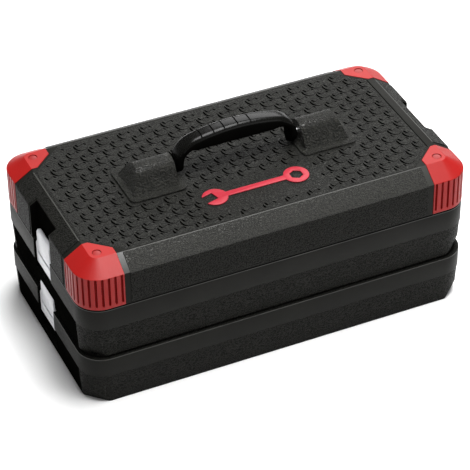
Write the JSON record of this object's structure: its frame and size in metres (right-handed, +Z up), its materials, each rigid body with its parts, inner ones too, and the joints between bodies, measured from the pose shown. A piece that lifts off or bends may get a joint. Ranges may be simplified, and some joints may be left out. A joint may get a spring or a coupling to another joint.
{
  "type": "socket wrench set in case",
  "caption": "Stacked carrying case with folding handle, corner caps and end draw latches, holding ratchets, sockets and wrenches in its trays.",
  "frame": {"origin": "centre of the case's underside, on the surface that it stands on", "axes": "+X along the case's length, +Y to its back, +Z up; the badge side faces -Y"},
  "size_m": [0.42, 0.227, 0.211],
  "materials": {
    "case_black": "moulded, fine grain",
    "insert_grey": "satin, vacuum formed",
    "foam": "closed-cell foam",
    "cap_red": "moulded, semi-gloss",
    "screw_red": "painted red",
    "steel_pin": "bright zinc",
    "latch_grey": "moulded, satin",
    "emblem_red": "painted relief",
    "handle_black": "smooth, semi-gloss",
    "tool_chrome": "satin chrome",
    "tool_steel": "ground steel",
    "lever_black": "smooth",
    "tool_grip": "two-tone soft grip"
  },
  "bodies": {
    "bottom_tray": {"bottom_tray_shell": "case_black", "bottom_tray_insert": "insert_grey", "lower_latch_pins": "steel_pin", "small_ratchet_body": "tool_chrome", "small_sockets": "tool_chrome", "bit_driver_handle": "tool_grip", "bit_driver_shaft": "tool_steel", "screwdriver_bits": "tool_steel", "combination_wrenches": "tool_chrome"},
    "middle_tray": {"middle_tray_shell": "case_black", "middle_tray_insert": "insert_grey", "upper_latch_pins": "steel_pin", "ratchet_head": "tool_chrome", "ratchet_cover": "tool_steel", "ratchet_grip": "tool_grip", "universal_joint_socket_end": "tool_chrome", "extension_long": "tool_chrome", "extension_short": "tool_chrome", "sliding_bar": "tool_chrome", "spark_plug_socket_16mm": "tool_chrome", "spark_plug_socket_21mm": "tool_chrome", "socket_10mm": "tool_chrome", "socket_12mm": "tool_chrome", "socket_13mm": "tool_chrome", "socket_14mm": "tool_chrome", "socket_17mm": "tool_chrome", "socket_19mm": "tool_chrome", "socket_22mm": "tool_chrome", "socket_24mm": "tool_chrome", "socket_27mm": "tool_chrome", "socket_30mm": "tool_chrome"},
    "lid": {"lid_shell": "case_black", "lid_foam_pad": "foam", "lid_emblem": "emblem_red", "corner_cap_front_left": "cap_red", "corner_cap_front_right": "cap_red", "corner_cap_back_left": "cap_red", "corner_cap_back_right": "cap_red", "corner_cap_screws": "screw_red", "handle_mount_left": "case_black", "handle_mount_right": "case_black", "handle_mount_screws": "steel_pin", "handle_pivot_pins": "steel_pin"},
    "handle": {"handle_grip": "handle_black"},
    "ratchet_drive": {"ratchet_drive": "tool_steel"},
    "ratchet_reverse_lever": {"ratchet_reverse_lever": "lever_black"},
    "ratchet_release_button": {"ratchet_release_button": "tool_steel"},
    "universal_joint_cross": {"universal_joint_cross": "tool_steel"},
    "universal_joint_drive_end": {"universal_joint_drive_end": "tool_chrome"},
    "sliding_bar_head": {"sliding_bar_head": "tool_chrome"},
    "small_ratchet_drive": {"small_ratchet_drive": "tool_steel"},
    "small_ratchet_reverse_lever": {"small_ratchet_reverse_lever": "lever_black"},
    "upper_left_latch_lever": {"upper_left_latch_lever": "latch_grey"},
    "upper_left_latch_claw": {"upper_left_latch_claw": "latch_grey"},
    "upper_right_latch_lever": {"upper_right_latch_lever": "latch_grey"},
    "upper_right_latch_claw": {"upper_right_latch_claw": "latch_grey"},
    "lower_left_latch_lever": {"lower_left_latch_lever": "latch_grey"},
    "lower_left_latch_claw": {"lower_left_latch_claw": "latch_grey"},
    "lower_right_latch_lever": {"lower_right_latch_lever": "latch_grey"},
    "lower_right_latch_claw": {"lower_right_latch_claw": "latch_grey"}
  },
  "joints": [
    {"name": "tray_lift", "type": "slide", "parent": "bottom_tray", "child": "middle_tray", "axis": [0, 0, 1], "range_m": [0, 0.09]},
    {"name": "lid_lift", "type": "slide", "parent": "middle_tray", "child": "lid", "axis": [0, 0, 1], "range_m": [0, 0.09]},
    {"name": "handle_fold", "type": "hinge", "parent": "lid", "child": "handle", "pos_m": [0, 0, 0.1785], "axis": [1, 0, 0], "range_deg": [-88, 88]},
    {"name": "upper_left_lever_turn", "type": "hinge", "parent": "middle_tray", "child": "upper_left_latch_lever", "pos_m": [-0.2055, 0, 0.113], "axis": [0, 1, 0], "range_deg": [0, 14.5]},
    {"name": "upper_left_claw_turn", "type": "hinge", "parent": "upper_left_latch_lever", "child": "upper_left_latch_claw", "pos_m": [-0.2059, 0, 0.1055], "axis": [0, -1, 0], "range_deg": [0, 124.5]},
    {"name": "upper_right_lever_turn", "type": "hinge", "parent": "middle_tray", "child": "upper_right_latch_lever", "pos_m": [0.2055, 0, 0.113], "axis": [0, -1, 0], "range_deg": [0, 14.5]},
    {"name": "upper_right_claw_turn", "type": "hinge", "parent": "upper_right_latch_lever", "child": "upper_right_latch_claw", "pos_m": [0.2059, 0, 0.1055], "axis": [0, 1, 0], "range_deg": [0, 124.5]},
    {"name": "lower_left_lever_turn", "type": "hinge", "parent": "bottom_tray", "child": "lower_left_latch_lever", "pos_m": [-0.2055, 0, 0.05], "axis": [0, 1, 0], "range_deg": [0, 14.5]},
    {"name": "lower_left_claw_turn", "type": "hinge", "parent": "lower_left_latch_lever", "child": "lower_left_latch_claw", "pos_m": [-0.2059, 0, 0.0425], "axis": [0, -1, 0], "range_deg": [0, 124.5]},
    {"name": "lower_right_lever_turn", "type": "hinge", "parent": "bottom_tray", "child": "lower_right_latch_lever", "pos_m": [0.2055, 0, 0.05], "axis": [0, -1, 0], "range_deg": [0, 14.5]},
    {"name": "lower_right_claw_turn", "type": "hinge", "parent": "lower_right_latch_lever", "child": "lower_right_latch_claw", "pos_m": [0.2059, 0, 0.0425], "axis": [0, 1, 0], "range_deg": [0, 124.5]},
    {"name": "ratchet_drive_spin", "type": "hinge", "parent": "middle_tray", "child": "ratchet_drive", "pos_m": [-0.15, 0.076, 0.104], "axis": [0, 0, 1], "continuous": true},
    {"name": "ratchet_reverse", "type": "hinge", "parent": "middle_tray", "child": "ratchet_reverse_lever", "pos_m": [-0.1395, 0.076, 0.104], "axis": [0, 0, 1], "range_deg": [0, 40]},
    {"name": "ratchet_release_press", "type": "slide", "parent": "ratchet_drive", "child": "ratchet_release_button", "axis": [0, 0, -1], "range_m": [0, 0.0016], "stiffness_N_per_m": 300, "springref_m": -0.001},
    {"name": "universal_joint_first_tilt", "type": "hinge", "parent": "middle_tray", "child": "universal_joint_cross", "pos_m": [0.152, 0.076, 0.117], "axis": [0, 1, 0], "range_deg": [-30, 30]},
    {"name": "universal_joint_second_tilt", "type": "hinge", "parent": "universal_joint_cross", "child": "universal_joint_drive_end", "pos_m": [0.152, 0.076, 0.117], "axis": [1, 0, 0], "range_deg": [-30, 30]},
    {"name": "sliding_head_travel", "type": "slide", "parent": "middle_tray", "child": "sliding_bar_head", "axis": [1, 0, 0], "range_m": [-0.015, 0.145]},
    {"name": "small_ratchet_drive_spin", "type": "hinge", "parent": "bottom_tray", "child": "small_ratchet_drive", "pos_m": [-0.158, -0.038, 0.041], "axis": [0, 0, 1], "continuous": true},
    {"name": "small_ratchet_reverse", "type": "hinge", "parent": "bottom_tray", "child": "small_ratchet_reverse_lever", "pos_m": [-0.1482, -0.038, 0.041], "axis": [0, 0, 1], "range_deg": [0, 40]}
  ],
  "couplings": [
    {"joint": "upper_left_lever_turn", "follows": "lid_lift", "rad_per_m": 2.715},
    {"joint": "upper_left_claw_turn", "follows": "lid_lift", "rad_per_m": 24.047},
    {"joint": "upper_right_lever_turn", "follows": "lid_lift", "rad_per_m": 2.715},
    {"joint": "upper_right_claw_turn", "follows": "lid_lift", "rad_per_m": 24.047},
    {"joint": "lower_left_lever_turn", "follows": "tray_lift", "rad_per_m": 2.715},
    {"joint": "lower_left_claw_turn", "follows": "tray_lift", "rad_per_m": 24.047},
    {"joint": "lower_right_lever_turn", "follows": "tray_lift", "rad_per_m": 2.715},
    {"joint": "lower_right_claw_turn", "follows": "tray_lift", "rad_per_m": 24.047}
  ]
}
